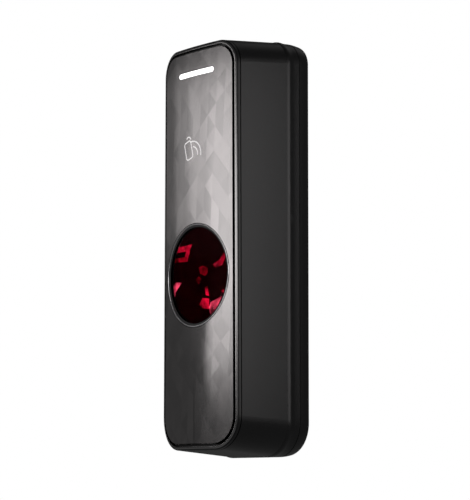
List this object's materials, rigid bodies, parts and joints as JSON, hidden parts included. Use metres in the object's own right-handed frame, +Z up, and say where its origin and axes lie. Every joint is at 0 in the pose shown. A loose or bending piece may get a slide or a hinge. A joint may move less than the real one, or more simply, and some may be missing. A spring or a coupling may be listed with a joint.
{
  "type": "rfid card reader",
  "caption": "Slim wall-mounted contactless card reader: crowned gloss front with a light bar and a round optical finger window, hung on a hooked wall bracket.",
  "frame": {"origin": "centre of the wall bracket's flat rear face, which lies on the wall", "axes": "+X to the right as seen by the person using it, +Y into the wall, +Z up; the reader's front faces -Y"},
  "size_m": [0.0508, 0.0384, 0.1626],
  "materials": {
    "bracket_steel": "zinc-coated pressed sheet",
    "bar_steel": "ground bar",
    "shell": "fine moulded texture",
    "seal": "moulded",
    "trim": "polished, with a bright bevel",
    "plate": "high gloss over a dark small-facet pattern",
    "tape": "foam adhesive",
    "light_guide": "milky, lit white",
    "white_led": "moulded",
    "board": "solder mask",
    "copper": "plated track",
    "pins": "plated",
    "black_nylon": "moulded",
    "white_nylon": "moulded",
    "screw_steel": "turned",
    "ring_chrome": "polished",
    "window_glass": "dark red tint, polished",
    "prism_glass": "polished facets",
    "lens_glass": "coated",
    "red_led": "lit red",
    "chip": "moulded epoxy",
    "shield_steel": "tinned",
    "relay_case": "moulded",
    "cell_steel": "pressed",
    "button_red": "moulded",
    "brass_insert": "knurled"
  },
  "bodies": {
    "bracket": {"wall_bracket": "bracket_steel"},
    "reader": {"hook_bar": "bar_steel", "front_housing": "shell", "rear_cover": "shell", "housing_gasket": "seal", "trim_frame": "trim", "front_plate": "plate", "plate_tape": "tape", "light_bar": "light_guide", "status_leds": "white_led", "antenna_board": "board", "antenna_coil": "copper", "antenna_pins": "pins", "header_block": "black_nylon", "antenna_screws": "screw_steel", "sensor_ring": "ring_chrome", "sensor_window": "window_glass", "window_seal": "seal", "sensor_prism": "prism_glass", "sensor_holder": "black_nylon", "holder_screws": "screw_steel", "lamp_board": "board", "sensor_leds": "red_led", "lens_barrel": "black_nylon", "lens": "lens_glass", "image_sensor": "chip", "camera_board": "board", "camera_screws": "screw_steel", "board_connector": "white_nylon", "main_board": "board", "board_screws": "screw_steel", "cover_screws": "screw_steel", "processor": "chip", "memory_chips": "chip", "shield_can": "shield_steel", "radio_chip": "chip", "relay": "relay_case", "transformer": "black_nylon", "buzzer": "black_nylon", "backup_cell": "cell_steel", "cable_header": "white_nylon", "header_pins": "pins", "cable_grommet": "seal", "tamper_switch": "black_nylon", "reset_switch": "black_nylon", "screw_insert": "brass_insert"},
    "tamper_pin": {"tamper_plunger": "white_nylon"},
    "reset_pin": {"reset_button": "button_red"},
    "washer": {"screw_washer": "screw_steel"},
    "screw": {"fixing_screw": "screw_steel"}
  },
  "joints": [
    {"name": "reader_swing", "type": "hinge", "parent": "bracket", "child": "reader", "pos_m": [0, -0.0042, 0.0725], "axis": [-1, 0, 0], "range_deg": [0, 8]},
    {"name": "tamper_travel", "type": "slide", "parent": "reader", "child": "tamper_pin", "axis": [0, 1, 0], "range_m": [-0.0015, 0], "stiffness_N_per_m": 600, "springref_m": 0.0005},
    {"name": "reset_travel", "type": "slide", "parent": "reader", "child": "reset_pin", "axis": [0, 1, 0], "range_m": [-0.0005, 0], "stiffness_N_per_m": 1500, "springref_m": 0.0003},
    {"name": "fixing_screw_advance", "type": "slide", "parent": "reader", "child": "washer", "axis": [0, 0, 1], "range_m": [-0.002, 0]},
    {"name": "fixing_screw_turn", "type": "hinge", "parent": "washer", "child": "screw", "pos_m": [0, -0.0052, -0.07], "axis": [0, 0, 1], "range_deg": [-1440, 0]}
  ],
  "couplings": [
    {"joint": "fixing_screw_turn", "follows": "fixing_screw_advance", "rad_per_m": 12566}
  ]
}
